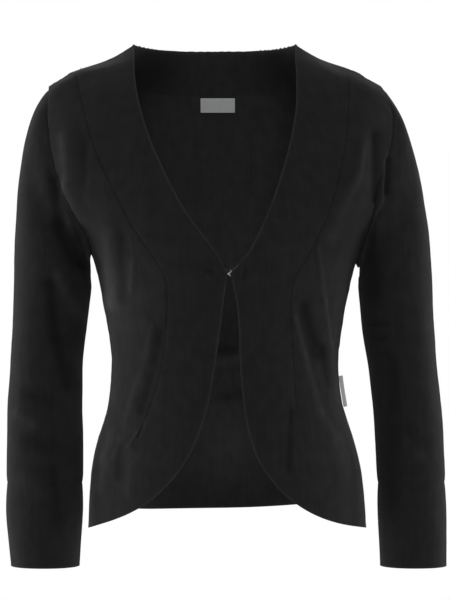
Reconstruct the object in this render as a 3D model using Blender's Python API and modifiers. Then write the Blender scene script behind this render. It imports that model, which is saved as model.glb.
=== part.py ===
"""A cropped knit cardigan, filled out as it is worn, with its neck, fronts, hem and cuffs open.

Metres, +Z up. The front faces -Y, and the wearer's left is +X. The origin is midway between the two
side-neck points, where the garment hangs on the shoulders. Tables and constants are in millimetres.

The body is read off one figure: level rings stacked from the neck to the hem. A place on a ring is its
turn, in degrees: 0 at centre front, 90 on the wearer's left, 180 at centre back and -90 or 270 on the
wearer's right. The front's seams are drawn on a front elevation and carried on to the figure.
"""

import math

import bmesh
import bpy
from mathutils import Vector

MM = 0.001

# Walls and seams
BODY_WALL = 1.6
BAND_WALL = 2.0
SLEEVE_WALL = 1.6
CUFF_WALL = 2.6
CUFF_STEP = 0.7
TUCK_GAP = 0.5
SEAM_GAP = 0.3
ARMHOLE_GAP = 0.9
LINING_GAP = 1.0

# Figure
SQUARENESS = 2.3
SLEEVE_SQUARENESS = 2.15
LEAN = 0.0259
EYE_X = 12.0
EYE_Z = -296.0
EYE_DISTANCE = 3200.0

# Heights of the main corners
SIDE_NECK_Z = 0.0
BAND_SHOULDER_Z = -28.0
SHOULDER_Z = -48.0
SIDE_SEAM_END_Z = -495.0
SIDE_TIP_Z = -560.0
NECK_DIP = 3.5
NECK_SEAM_Z = -54.6
HEM_SEAM_Z = -481.0
SLEEVE_RING_Z = -285.0
SLEEVE_TUCK_Z = -504.0
SLEEVE_END_Z = -516.0
TUCK_DROP = 4.0
CUFF_TOP_Z = -509.0
CUFF_END_Z = -601.0

# Grid counts
ARMHOLE_ROWS = 12
SIDE_ROWS = 12
SHOULDER_COLUMNS = 5
NECK_COLUMNS = 16
NECK_ROWS = 3
BAND_COLUMNS = 4
HEM_ROWS = 3
CAP_ROWS = 9
TUBE_ROWS = 11
CUFF_ROWS = 5

# Labels
NECK_LABEL_WIDTH = 41.0
NECK_LABEL_HEIGHT = 17.0
NECK_LABEL_X = 3.4
NECK_LABEL_TOP_Z = -55.5
LABEL_WALL = 0.6
LABEL_ROWS = 2
LABEL_COLUMNS = 4
CARE_LABEL_HEIGHT = 36.0
CARE_LABEL_WIDTH = 22.0
CARE_LABEL_TOP_Z = -384.0
CARE_LABEL_LIFT = 5.0

# Hook and eye
HOOK_X = 18.0
HOOK_Z = -263.0
HOOK_WIRE = 0.4
EYE_WIRE = 0.4
HOOK_CURL = 1.4
HOOK_PAIR = 0.6
HOOK_LEG = 8.0
HOOK_SPREAD = 2.4
CURL_STEPS = 6
EYE_SPREAD = 3.0
EYE_LEG = 7.0
EYELET_RADIUS = 1.5
EYELET_FROM = 200
EYELET_TO = -70
EYELET_STEPS = 7

# height, centre, half width, front depth, back depth
FIGURE = (
    (0, 0, 94, 25, 62),
    (-12, 0, 113, 36, 67),
    (-24, 0, 137, 46, 72),
    (-30, 0, 164, 51, 74),
    (-38, 0, 175.5, 56, 78),
    (-48, 0, 193, 62, 82),
    (-60, 1, 203, 68, 85),
    (-80, 3, 211, 76, 89),
    (-118, 6, 215, 87, 95),
    (-180, 9, 200, 104, 99),
    (-225, 11, 166, 114, 95),
    (-250, 12, 152, 115, 91),
    (-296, 12, 142, 107, 82),
    (-342, 12, 133.5, 95, 73),
    (-370, 12, 131, 91, 70),
    (-412, 12.5, 135, 92, 75),
    (-454, 13, 147.6, 95, 86),
    (-495, 13.5, 156.6, 98, 95),
    (-551, 14.5, 161.2, 101, 101),
    (-575, 14.8, 162, 102, 103),
)

# The front band's rows on the front elevation: edge x, edge z, seam x, seam z
BAND_RIGHT = (
    (-93, 0, -160, -28),
    (-93, -29, -160, -36),
    (-89, -60, -153, -70),
    (-78, -100, -140, -118),
    (-61, -140, -118, -166),
    (-38, -186, -93, -215),
    (-12, -222, -66, -254),
    (15, -264, -56, -275),
    (11, -291, -55, -296),
    (8, -320, -56, -325),
    (2, -362, -58, -354),
    (-6, -412, -67, -394),
    (-19, -455, -79, -430),
    (-39, -493, -93, -461),
    (-63, -520, -107, -474),
    (-92, -541, -121, -487),
    (-119, -552, -134, -492),
    (-147, -560, -144, -495),
)
BAND_LEFT = (
    (90, 0, 152, -27),
    (95, -34, 155, -45),
    (95, -64, 155, -73),
    (90, -99, 152, -108),
    (81, -137, 144, -153),
    (66, -184, 128, -206),
    (38, -243, 97, -263),
    (19, -264, 90, -282),
    (24, -291, 88, -302),
    (28, -325, 89, -326),
    (29, -365, 91, -360),
    (33, -414, 93, -404),
    (41, -456, 99, -440),
    (56, -493, 106, -461),
    (81, -523, 125, -472),
    (110, -543, 138, -482),
    (143, -556, 153, -489),
    (176, -560, 169, -495),
)
# The band row whose seam end is the lower corner of the side front
BAND_CORNER = 13

# Front armholes on the front elevation: x, z
ARMHOLE_RIGHT = (
    (-190, -47),
    (-194, -64),
    (-194, -85),
    (-191, -110),
    (-186, -137),
    (-177, -164),
    (-165, -189),
    (-153, -217),
    (-140, -248),
)
ARMHOLE_LEFT = (
    (191, -48),
    (201, -64),
    (207, -82),
    (207, -106),
    (198, -137),
    (191, -165),
    (186, -191),
    (177, -220),
    (164, -252),
)
# Back armholes: z, distance from the centre
ARMHOLE_BACK = (
    (-48, 193),
    (-64, 196),
    (-85, 197),
    (-110, 193),
    (-137, 188),
    (-164, 182),
    (-191, 173),
    (-217, 163),
    (-235, 156.5),
    (-250, 152),
)

# The back hem: turn, z
HEM = (
    (90, -560),
    (104, -546),
    (124, -536),
    (142, -537.5),
    (160, -541.5),
    (180, -544.5),
    (210, -545),
    (234, -542),
    (256, -548),
    (270, -560),
)

# Sleeve rings: z, distance from the centre line, half width, half depth, centre y
SLEEVE_RIGHT = (
    (-285, 195, 45.6, 50, -2),
    (-338, 201, 43, 48, -6),
    (-380, 205.6, 42.2, 46.5, -10),
    (-419, 207.2, 44, 45, -15),
    (-470, 209, 44.5, 43.5, -21),
    (-510, 210, 44.6, 42.5, -26),
    (-540, 211, 44.3, 42, -28),
    (-570, 211.6, 41.2, 41.5, -30),
    (-605, 211.8, 38.8, 40.5, -31),
)
SLEEVE_LEFT = (
    (-285, 202, 43.4, 49, -2),
    (-338, 204.6, 41.9, 48, -6),
    (-380, 208.8, 40, 46.5, -10),
    (-412, 211.5, 39.7, 45, -15),
    (-445, 213.5, 40.2, 44, -18),
    (-510, 214.8, 39.4, 42.5, -25),
    (-540, 215, 39.4, 42, -27),
    (-570, 214.6, 38.6, 41, -29),
    (-605, 214.6, 37.8, 40, -30),
)
# How the cap leaves the armhole, from its top round to the underarm:
# turn, outward, forward, down, length at the armhole, length at the ring
CAP_FLOW = (
    (0, 0.82, 0.0, 0.57, 130, 250),
    (45, 0.74, 0.0, 0.67, 110, 210),
    (90, 0.55, 0.0, 0.83, 75, 140),
    (135, 0.42, 0.05, 0.90, 45, 70),
    (180, 0.42, 0.0, 0.90, 25, 30),
)

# Largest folds of the front, on the front elevation: x1, z1, x2, z2, half width, height
BODY_FOLDS = (
    (-166, -120, -170, -190, 13, 3.0),
    (-158, -165, -136, -255, 11, -3.5),
    (-118, -215, -112, -262, 16, 2.5),
    (-72, -320, -98, -420, 16, 2.0),
    (-98, -420, -124, -480, 14, 2.0),
    (170, -120, 152, -190, 12, 2.5),
    (185, -110, 190, -175, 9, -3.0),
    (150, -190, 140, -235, 20, 2.0),
    (120, -235, 134, -335, 13, 2.5),
    (110, -300, 108, -360, 14, -2.5),
    (100, -320, 122, -420, 12, 1.5),
)
# Largest folds of the back: x1, z1, x2, z2, half width, height
BACK_FOLDS = (
    (-60, -330, 60, -345, 14, 2.5),
    (-95, -362, -10, -372, 13, -2.5),
    (20, -374, 105, -360, 13, -2.5),
    (-80, -398, 75, -402, 15, 2.0),
    (-130, -190, -95, -120, 18, 2.0),
    (140, -190, 105, -120, 18, 2.0),
)
# Largest folds of the sleeves: turn, z1, turn, z2, half width, height
SLEEVE_FOLDS_RIGHT = (
    (20, -120, 150, -262, 18, -3.5),
    (70, -150, 165, -250, 14, 2.5),
    (95, -318, 160, -360, 15, -3.0),
    (60, -372, 150, -392, 13, 2.5),
    (90, -405, 170, -425, 13, -2.5),
    (250, -330, 330, -370, 16, 2.5),
    (230, -390, 320, -410, 14, -2.5),
)
SLEEVE_FOLDS_LEFT = (
    (30, -130, 150, -258, 18, -3.0),
    (80, -165, 160, -245, 14, 2.5),
    (90, -330, 165, -352, 15, -2.5),
    (60, -378, 150, -388, 13, 2.0),
    (95, -412, 165, -432, 13, -2.0),
    (250, -335, 330, -368, 16, 2.0),
    (230, -388, 320, -412, 14, -2.0),
)


class Curve:
    """A smooth curve through the rows of a table, read by its first column without overshoot."""

    def __init__(self, rows):
        rows = sorted(rows)
        self.keys = [row[0] for row in rows]
        self.columns = []
        for values in list(zip(*rows))[1:]:
            self.columns.append((values, self.slopes(values)))

    def slopes(self, values):
        rates = []
        for i in range(len(values) - 1):
            rates.append((values[i + 1] - values[i]) / (self.keys[i + 1] - self.keys[i]))
        inner = []
        for before, after in zip(rates, rates[1:]):
            inner.append(2 * before * after / (before + after) if before * after > 0 else 0)
        return [rates[0], *inner, rates[-1]]

    def at(self, key):
        key = min(max(key, self.keys[0]), self.keys[-1])
        i = 0
        while i < len(self.keys) - 2 and key > self.keys[i + 1]:
            i += 1
        step = self.keys[i + 1] - self.keys[i]
        t = (key - self.keys[i]) / step
        found = []
        for values, slopes in self.columns:
            found.append(hermite(values[i], slopes[i] * step, values[i + 1], slopes[i + 1] * step, t))
        return found


def hermite(start, start_rate, end, end_rate, t):
    """The cubic from start to end that leaves and arrives at the given rates."""
    return (
        start * (1 + 2 * t) * (1 - t) ** 2
        + start_rate * t * (1 - t) ** 2
        + end * t * t * (3 - 2 * t)
        + end_rate * t * t * (t - 1)
    )


def mix(a, b, t):
    return a * (1 - t) + b * t


def numbered(rows):
    """The rows of a table with their place in it as a first column."""
    return [(i, *row) for i, row in enumerate(rows)]


def power(value, exponent):
    return math.copysign(abs(value) ** exponent, value)


figure = Curve(FIGURE)
hem = Curve(HEM)
back_armhole = Curve(ARMHOLE_BACK)
cap_flow = Curve(CAP_FLOW)


def crease(x, z, folds):
    """How far the folds near this place stand out of the smooth form."""
    total = 0.0
    for x1, z1, x2, z2, half_width, height in folds:
        along = ((x - x1) * (x2 - x1) + (z - z1) * (z2 - z1)) / ((x2 - x1) ** 2 + (z2 - z1) ** 2)
        along = min(max(along, 0.0), 1.0)
        away = math.hypot(x - mix(x1, x2, along), z - mix(z1, z2, along))
        total += height * math.exp(-((away / half_width) ** 2))
    return total


def ring_point(z, turn):
    centre, half_width, front, back = figure.at(z)
    sine = math.sin(math.radians(turn))
    cosine = math.cos(math.radians(turn))
    depth = front if cosine > 0 else back
    x = centre + half_width * power(sine, 2 / SQUARENESS)
    return Vector((x, -depth * power(cosine, 2 / SQUARENESS), z))


def body_normal(z, turn):
    """The outward direction of the smooth figure at a place on it."""
    across = ring_point(z, turn + 1) - ring_point(z, turn - 1)
    up = ring_point(min(z + 1, 0), turn) - ring_point(z - 1, turn)
    return across.cross(up).normalized()


def body_point(z, turn, outward=0.0):
    """A point of the body with its folds, moved out of the cloth's outer face if asked."""
    point = ring_point(z, turn)
    folds = BODY_FOLDS if math.cos(math.radians(turn)) > 0 else BACK_FOLDS
    fade = min(abs(math.cos(math.radians(turn))) * 4, 1.0)
    return point + body_normal(z, turn) * (crease(point.x, z, folds) * fade + outward)


def trace(view_x, view_z):
    """The height and turn at which the eye sees this place of the front elevation on the figure."""
    y = 0.0
    for _ in range(16):
        scale = (EYE_DISTANCE + y) / EYE_DISTANCE
        x = EYE_X + (view_x - EYE_X) * scale
        z = min(EYE_Z + (view_z - EYE_Z) * scale, 0.0)
        centre, half_width, front, _ = figure.at(z)
        across = min(max((x - centre) / half_width, -1.0), 1.0)
        turn = math.degrees(math.asin(power(across, SQUARENESS / 2)))
        y = -front * math.cos(math.radians(turn)) ** (2 / SQUARENESS)
    return Vector((z, turn))


def blend(top, bottom, left, right):
    """A grid of places inside four edges that meet at their ends."""
    rows = len(left) - 1
    columns = len(top) - 1
    grid = []
    for i in range(rows + 1):
        v = i / rows
        row = []
        for j in range(columns + 1):
            u = j / columns
            ends = top[0] * (1 - u) * (1 - v) + top[-1] * u * (1 - v)
            ends += bottom[0] * (1 - u) * v + bottom[-1] * u * v
            row.append(mix(top[j], bottom[j], v) + mix(left[i], right[i], u) - ends)
        grid.append(row)
    return grid


def inset(grid, distance, open_edges=""):
    """Draws a grid's edges in by a distance, leaving those named by T, B, L or R where they are."""
    rows = [[point.copy() for point in row] for row in grid]

    def step(i, j, towards_i, towards_j):
        inner = grid[i + towards_i][j + towards_j] - grid[i][j]
        rows[i][j] += inner.normalized() * min(distance, inner.length / 2)

    last_row = len(grid) - 1
    last_column = len(grid[0]) - 1
    for i in range(last_row + 1):
        if "L" not in open_edges:
            step(i, 0, 0, 1)
        if "R" not in open_edges:
            step(i, last_column, 0, -1)
    for j in range(last_column + 1):
        if "T" not in open_edges:
            step(0, j, 1, 0)
        if "B" not in open_edges:
            step(last_row, j, -1, 0)
    return rows


def make_material(name, colour, roughness, metallic=0.0):
    material = bpy.data.materials.new(name)
    material.use_nodes = True
    shader = material.node_tree.nodes["Principled BSDF"]
    shader.inputs["Base Color"].default_value = (*colour, 1.0)
    shader.inputs["Roughness"].default_value = roughness
    shader.inputs["Metallic"].default_value = metallic
    return material


def add_object(name, data, material):
    data.materials.append(material)
    piece = bpy.data.objects.new(name, data)
    collection.objects.link(piece)
    piece.parent = garment
    return piece


def sheet_faces(shell, rows, closed):
    for upper, lower in zip(rows, rows[1:]):
        for j in range(len(upper) - 1):
            shell.faces.new((upper[j], lower[j], lower[j + 1], upper[j + 1]))
        if closed:
            shell.faces.new((upper[-1], lower[-1], lower[0], upper[0]))


def cloth(name, grid, wall, material, closed=False):
    """A cloth wall whose outer face is a grid of points. Its rows run from the top down."""
    shell = bmesh.new()
    rows = [[shell.verts.new(point * MM) for point in row] for row in grid]
    sheet_faces(shell, rows, closed)
    mesh = bpy.data.meshes.new(name)
    shell.to_mesh(mesh)
    shell.free()
    mesh.shade_smooth()
    piece = add_object(name, mesh, material)
    solidify = piece.modifiers.new("wall", "SOLIDIFY")
    solidify.thickness = wall * MM
    solidify.offset = -1
    solidify.use_quality_normals = True
    return piece


def walled(name, outer, inner, material):
    """A wall lofted between an outer and an inner face of the same grid, with a rim round its edge."""
    shell = bmesh.new()
    outer_rows = [[shell.verts.new(point * MM) for point in row] for row in outer]
    inner_rows = [[shell.verts.new(point * MM) for point in row] for row in inner]
    sheet_faces(shell, outer_rows, False)
    sheet_faces(shell, [row[::-1] for row in inner_rows], False)
    rim = []
    for rows in (outer_rows, inner_rows):
        left = [row[0] for row in rows]
        right = [row[-1] for row in rows]
        rim.append(left + rows[-1][1:] + right[-2::-1] + rows[0][-2:0:-1])
    for i in range(len(rim[0])):
        j = (i + 1) % len(rim[0])
        shell.faces.new((rim[0][j], rim[0][i], rim[1][i], rim[1][j]))
    mesh = bpy.data.meshes.new(name)
    shell.to_mesh(mesh)
    shell.free()
    mesh.shade_smooth()
    mesh.set_sharp_from_angle(angle=math.radians(50))
    return add_object(name, mesh, material)


def panel(name, places, wall, material, open_edges=""):
    """A body panel whose faces are both square to the figure, so that neighbours' walls stand side by
    side along a seam however the figure curves there."""
    outer = inset(places_to_points(places), SEAM_GAP / 2, open_edges)
    inner = inset(places_to_points(places, -wall), SEAM_GAP / 2, open_edges)
    return walled(name, outer, inner, material)


def wire(name, path, radius, material):
    curve = bpy.data.curves.new(name, "CURVE")
    curve.dimensions = "3D"
    curve.bevel_depth = radius * MM
    curve.bevel_resolution = 2
    curve.use_fill_caps = True
    spline = curve.splines.new("POLY")
    spline.points.add(len(path) - 1)
    for point, place in zip(spline.points, path):
        point.co = (*(place * MM), 1.0)
    return add_object(name, curve, material)


def band_edges(rows):
    """Places down the front edge and down the band's seam, from the shoulder to the side seam."""
    stations = Curve(numbered(rows))
    side = math.copysign(90, rows[0][0])
    upper = ARMHOLE_ROWS + SIDE_ROWS
    lower = SHOULDER_COLUMNS
    keys = [BAND_CORNER * i / upper for i in range(upper)]
    keys += [mix(BAND_CORNER, len(rows) - 1, i / lower) for i in range(lower + 1)]
    edge = []
    seam = []
    for key in keys:
        edge_x, edge_z, seam_x, seam_z = stations.at(key)
        edge.append(trace(edge_x, edge_z))
        seam.append(trace(seam_x, seam_z))
    edge[0] = Vector((SIDE_NECK_Z, side))
    seam[0] = Vector((BAND_SHOULDER_Z, side))
    edge[-1] = Vector((SIDE_TIP_Z, side))
    seam[-1] = Vector((SIDE_SEAM_END_Z, side))
    return edge, seam


def front_armhole(rows):
    stations = Curve(numbered(rows))
    side = math.copysign(90, rows[0][0])
    places = []
    for i in range(ARMHOLE_ROWS + 1):
        places.append(trace(*stations.at((len(rows) - 1) * i / ARMHOLE_ROWS)))
    places[0] = Vector((SHOULDER_Z, side))
    places[-1] = Vector((rows[-1][1], side))
    return places


def rear_armhole(end_z):
    """The back armhole of the wearer's left, ending where the front one does."""
    places = []
    for i in range(ARMHOLE_ROWS + 1):
        z = mix(SHOULDER_Z, end_z, i / ARMHOLE_ROWS)
        across = min(back_armhole.at(z)[0] / figure.at(z)[1], 1.0)
        places.append(Vector((z, 180 - math.degrees(math.asin(across ** (SQUARENESS / 2))))))
    places[0] = Vector((SHOULDER_Z, 90))
    places[-1] = Vector((end_z, 90))
    return places


def mirrored(places):
    return [Vector((place[0], 360 - place[1])) for place in places]


def side_seam(start_z, turn):
    places = []
    for i in range(1, SIDE_ROWS + 1):
        places.append(Vector((mix(start_z, SIDE_SEAM_END_Z, i / SIDE_ROWS), turn)))
    return places


def shoulder_seam(turn):
    """Places along the shoulder seam from the band out to the armhole."""
    places = []
    for i in range(SHOULDER_COLUMNS + 1):
        places.append(Vector((mix(BAND_SHOULDER_Z, SHOULDER_Z, i / SHOULDER_COLUMNS), turn)))
    return places


def neck_seam():
    """The seam under the back neckband, from the wearer's left round to the right."""
    places = []
    for i in range(NECK_COLUMNS + 1):
        turn = mix(90, 270, i / NECK_COLUMNS)
        drop = math.sin(math.radians(turn - 90)) ** 2.8
        places.append(Vector((mix(BAND_SHOULDER_Z, NECK_SEAM_Z, drop), turn)))
    return places


def places_to_points(grid, outward=0.0):
    return [[body_point(*place, outward) for place in row] for row in grid]


def sleeve_ring(rings, side, z, count, outward=0.0):
    """A level ring of sleeve points, from the outer side round the front to the inner side and back."""
    distance, half_width, half_depth, centre_y = rings.at(z)
    scale = (EYE_DISTANCE + centre_y) / EYE_DISTANCE
    centre_x = EYE_X + (side * distance + LEAN * abs(z) - EYE_X) * scale
    points = []
    for i in range(count):
        angle = 2 * math.pi * i / count
        x = (half_width + outward) * power(math.cos(angle), 2 / SLEEVE_SQUARENESS)
        y = (half_depth + outward) * power(math.sin(angle), 2 / SLEEVE_SQUARENESS)
        points.append(Vector((centre_x + side * x, centre_y - y, z)))
    return points


def sleeve_fold(points, turn_step, folds):
    """Moves a ring of points in or out by the folds that cross it."""
    centre = sum(points, Vector()) / len(points)
    moved = []
    for i, point in enumerate(points):
        outward = (point - centre).normalized()
        outward.z = 0
        turn = i * turn_step
        radius = (point - centre).length
        total = 0.0
        for turn1, z1, turn2, z2, half_width, height in folds:
            x = math.radians(turn) * radius
            x1 = math.radians(turn1) * radius
            x2 = math.radians(turn2) * radius
            total += crease(x, point.z, ((x1, z1, x2, z2, half_width, height),))
        moved.append(point + outward * total)
    return moved


def sleeve_grid(loop, rings, side, folds):
    """Rows of sleeve points from the armhole to the cuff."""
    count = len(loop)
    turn_step = 360 / count
    ring = sleeve_ring(rings, side, SLEEVE_RING_Z, count)
    starts = []
    for i, point in enumerate(loop):
        turn = i * turn_step
        outward, forward, down, start_length, end_length = cap_flow.at(min(turn, 360 - turn))
        facing = 1 if turn < 180 else -1
        flow = Vector((side * outward, -forward * facing, -down)).normalized()
        along = (loop[(i + 1) % count] - loop[i - 1]).normalized()
        across = (flow - along * flow.dot(along)).normalized()
        starts.append((point + across * ARMHOLE_GAP, flow * start_length, end_length))
    grid = []
    for row in range(CAP_ROWS):
        t = row / CAP_ROWS
        points = []
        for (start, rate, end_length), end in zip(starts, ring):
            points.append(hermite(start, rate, end, Vector((0, 0, -end_length)), t))
        grid.append(points)
    for row in range(TUBE_ROWS + 1):
        z = mix(SLEEVE_RING_Z, SLEEVE_TUCK_Z, row / TUBE_ROWS)
        grid.append(sleeve_ring(rings, side, z, count))
    for row in range(2, len(grid) - 1):
        grid[row] = sleeve_fold(grid[row], turn_step, folds)
    tucked = CUFF_STEP - CUFF_WALL - TUCK_GAP
    grid.append(sleeve_ring(rings, side, SLEEVE_TUCK_Z - TUCK_DROP, count, tucked))
    grid.append(sleeve_ring(rings, side, SLEEVE_END_Z, count, tucked))
    return grid


def cuff_grid(rings, side, count):
    """Rows of cuff points, standing a step outside the sleeve's outline over its tucked end."""
    grid = []
    for row in range(CUFF_ROWS + 1):
        z = mix(CUFF_TOP_Z, CUFF_END_Z, row / CUFF_ROWS)
        grid.append(sleeve_ring(rings, side, z, count, CUFF_STEP))
    return grid


def back_place(x, z):
    """The place on the back at a height and a distance across."""
    centre, half_width, _, _ = figure.at(z)
    return Vector((z, 180 - math.degrees(math.asin(power((x - centre) / half_width, SQUARENESS / 2)))))


def eyelet(x, y, z, facing, rise):
    """An open sewing ring at a wire's end, running from its loose end to its leg."""
    points = []
    for i in range(EYELET_STEPS + 1):
        angle = math.radians(mix(EYELET_FROM, EYELET_TO, i / EYELET_STEPS))
        across = EYELET_RADIUS * math.cos(angle)
        up = EYELET_RADIUS * math.sin(angle)
        points.append(Vector((x + facing * across, y, z + rise * up)))
    return points


for old in list(bpy.data.objects):
    bpy.data.objects.remove(old, do_unlink=True)

collection = bpy.data.collections.new("cropped_cardigan")
bpy.context.scene.collection.children.link(collection)
garment = bpy.data.objects.new("garment", None)
collection.objects.link(garment)

knit = make_material("fine_knit", (0.0123, 0.0122, 0.0125), 0.86)
band_knit = make_material("band_knit", (0.0118, 0.0117, 0.0121), 0.84)
cuff_knit = make_material("cuff_knit", (0.0123, 0.0122, 0.0125), 0.86)
neck_label_cloth = make_material("neck_label_satin", (0.42, 0.43, 0.44), 0.55)
care_label_cloth = make_material("care_label_satin", (0.74, 0.74, 0.73), 0.5)
steel = make_material("hook_steel", (0.62, 0.62, 0.63), 0.3, 1.0)
thread = make_material("eye_wire_black", (0.02, 0.02, 0.021), 0.45)

# Fronts
armholes = {}
for side_name, side, band_rows, armhole_rows in (
    ("right", -1, BAND_RIGHT, ARMHOLE_RIGHT),
    ("left", 1, BAND_LEFT, ARMHOLE_LEFT),
):
    edge, seam = band_edges(band_rows)
    band = []
    for edge_place, seam_place in zip(edge, seam):
        columns = [mix(edge_place, seam_place, j / BAND_COLUMNS) for j in range(BAND_COLUMNS + 1)]
        band.append(columns if side > 0 else columns[::-1])
    panel(f"front_band_{side_name}", band, BAND_WALL, band_knit, "L" if side > 0 else "R")

    armhole = front_armhole(armhole_rows)
    armholes[side_name] = armhole
    outer = armhole + side_seam(armhole[-1][0], side * 90)
    corner = len(outer) - 1
    places = blend(shoulder_seam(side * 90), seam[corner:], seam[: corner + 1], outer)
    places = [row if side > 0 else row[::-1] for row in places]
    panel(f"side_front_{side_name}", places, BODY_WALL, knit)

# Back
rear_left = rear_armhole(armholes["left"][-1][0])
rear_right = mirrored(rear_armhole(armholes["right"][-1][0]))
under_neck = neck_seam()
back_top = shoulder_seam(90)[::-1] + under_neck[1:-1] + shoulder_seam(270)
back_columns = len(back_top) - 1
hem_seam = []
hem_edge = []
for j in range(back_columns + 1):
    turn = mix(90, 270, j / back_columns)
    rise = math.sin(math.radians(turn - 90))
    hem_seam.append(Vector((mix(SIDE_SEAM_END_Z, HEM_SEAM_Z, rise), turn)))
    hem_edge.append(Vector((hem.at(turn)[0], turn)))
back = blend(
    back_top,
    hem_seam,
    rear_left + side_seam(rear_left[-1][0], 90),
    rear_right + side_seam(rear_right[-1][0], 270),
)
panel("back", back, BODY_WALL, knit)

hem_band = []
for i in range(HEM_ROWS + 1):
    hem_band.append([mix(a, b, i / HEM_ROWS) for a, b in zip(hem_seam, hem_edge)])
panel("back_hem_band", hem_band, BAND_WALL, band_knit, "B")

neckband = []
for i in range(NECK_ROWS + 1):
    row = []
    for place in under_neck:
        top = -NECK_DIP * math.sin(math.radians(place[1] - 90)) ** 2
        row.append(mix(Vector((SIDE_NECK_Z + top, place[1])), place, i / NECK_ROWS))
    neckband.append(row)
panel("back_neckband", neckband, BAND_WALL, band_knit, "T")

# Sleeves and cuffs
for side_name, side, ring_rows, rear, folds in (
    ("right", -1, SLEEVE_RIGHT, rear_right, SLEEVE_FOLDS_RIGHT),
    ("left", 1, SLEEVE_LEFT, rear_left, SLEEVE_FOLDS_LEFT),
):
    rings = Curve(ring_rows)
    loop = [body_point(*place) for place in armholes[side_name] + rear[-2:0:-1]]
    sleeve = sleeve_grid(loop, rings, side, folds)
    cuff = cuff_grid(rings, side, len(loop))
    if side > 0:
        sleeve = [row[::-1] for row in sleeve]
        cuff = [row[::-1] for row in cuff]
    cloth(f"sleeve_{side_name}", sleeve, SLEEVE_WALL, knit, closed=True)
    cloth(f"cuff_{side_name}", cuff, CUFF_WALL, cuff_knit, closed=True)

# Bare labels
neck_label = []
for i in range(LABEL_ROWS + 1):
    z = NECK_LABEL_TOP_Z - NECK_LABEL_HEIGHT * i / LABEL_ROWS
    row = []
    for j in range(LABEL_COLUMNS + 1):
        row.append(back_place(NECK_LABEL_X + NECK_LABEL_WIDTH * (0.5 - j / LABEL_COLUMNS), z))
    neck_label.append(row)
label_face = -BODY_WALL - LINING_GAP
walled(
    "neck_label",
    places_to_points(neck_label, label_face),
    places_to_points(neck_label, label_face - LABEL_WALL),
    neck_label_cloth,
)

care_label = []
for i in range(LABEL_ROWS + 1):
    z = CARE_LABEL_TOP_Z - CARE_LABEL_HEIGHT * i / LABEL_ROWS
    centre, half_width, _, _ = figure.at(z)
    row = []
    for j in range(LABEL_COLUMNS + 1):
        t = j / LABEL_COLUMNS
        x = centre + half_width + SEAM_GAP + LABEL_WALL + CARE_LABEL_LIFT * t
        row.append(Vector((x, 1 + CARE_LABEL_WIDTH * t, z)))
    care_label.append(row)
cloth("care_label", care_label, LABEL_WALL, care_label_cloth)

# Hook and eye
wire_y = body_point(*trace(HOOK_X, HOOK_Z), -BAND_WALL - LINING_GAP - HOOK_WIRE).y
leg = eyelet(HOOK_X - HOOK_LEG, wire_y, HOOK_Z + HOOK_SPREAD, -1, 1)
leg.append(Vector((HOOK_X - HOOK_LEG / 2, wire_y, HOOK_Z + HOOK_PAIR)))
for i in range(CURL_STEPS + 1):
    angle = math.pi * i / CURL_STEPS
    across = HOOK_CURL * math.sin(angle)
    back_y = wire_y + HOOK_CURL * (1 - math.cos(angle))
    leg.append(Vector((HOOK_X + across, back_y, HOOK_Z + HOOK_PAIR)))
leg.append(Vector((HOOK_X - HOOK_LEG / 2, leg[-1].y, HOOK_Z + HOOK_PAIR)))
other_leg = [Vector((point.x, point.y, 2 * HOOK_Z - point.z)) for point in reversed(leg)]
wire("hook", leg + other_leg, HOOK_WIRE, steel)

eye_y = wire_y + HOOK_CURL
half_eye = eyelet(HOOK_X + EYE_LEG, eye_y, HOOK_Z + EYE_SPREAD + EYELET_RADIUS, 1, 1)
half_eye.append(Vector((HOOK_X + 1, eye_y, HOOK_Z + EYE_SPREAD)))
half_eye.append(Vector((HOOK_X, eye_y, HOOK_Z + EYE_SPREAD - 1)))
other_half = [Vector((point.x, point.y, 2 * HOOK_Z - point.z)) for point in reversed(half_eye)]
wire("eye", half_eye + other_half, EYE_WIRE, thread)
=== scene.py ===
"""Cropped knit cardigan: cloth, seams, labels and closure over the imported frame."""

import math

import bmesh
import bpy
import numpy as np
from bpy.props import FloatProperty, FloatVectorProperty, PointerProperty
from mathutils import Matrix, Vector, noise
from mathutils.geometry import intersect_point_line
from mathutils.kdtree import KDTree


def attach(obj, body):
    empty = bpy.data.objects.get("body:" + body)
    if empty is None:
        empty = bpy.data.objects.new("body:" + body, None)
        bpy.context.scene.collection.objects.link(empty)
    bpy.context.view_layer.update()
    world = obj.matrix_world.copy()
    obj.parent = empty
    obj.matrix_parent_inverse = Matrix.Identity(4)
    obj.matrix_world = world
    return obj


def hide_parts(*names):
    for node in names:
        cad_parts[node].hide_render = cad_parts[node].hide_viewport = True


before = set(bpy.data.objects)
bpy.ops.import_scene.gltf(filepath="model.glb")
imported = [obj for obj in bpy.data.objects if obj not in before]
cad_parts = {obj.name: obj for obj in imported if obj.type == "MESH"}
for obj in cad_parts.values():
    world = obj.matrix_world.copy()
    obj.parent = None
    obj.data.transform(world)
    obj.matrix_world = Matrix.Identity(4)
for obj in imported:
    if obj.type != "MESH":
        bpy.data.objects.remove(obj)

bl_info = {
    "name": "Cropped Cardigan",
    "version": (1, 0, 0),
    "blender": (4, 5, 0),
    "location": "3D View > Sidebar > Cardigan",
    "description": "Knit cloth, seams, labels, closure and studio for a cropped cardigan",
    "category": "Object",
}

MM = 0.001
BODY = "root"

# The camera looks along +Y at the garment's middle height
EYE = Vector((0.012, -3.2, -0.296))
AIM = Vector((0, 0, -0.3))
FRAME_HEIGHT = 0.696
SENSOR = 36.0

# The cuff's upper rim, and how far it is drawn into the sleeve, and up
CUFF_RIM = 0.002
CUFF_IN = 0.0016
CUFF_UP = 0.0036

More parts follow.
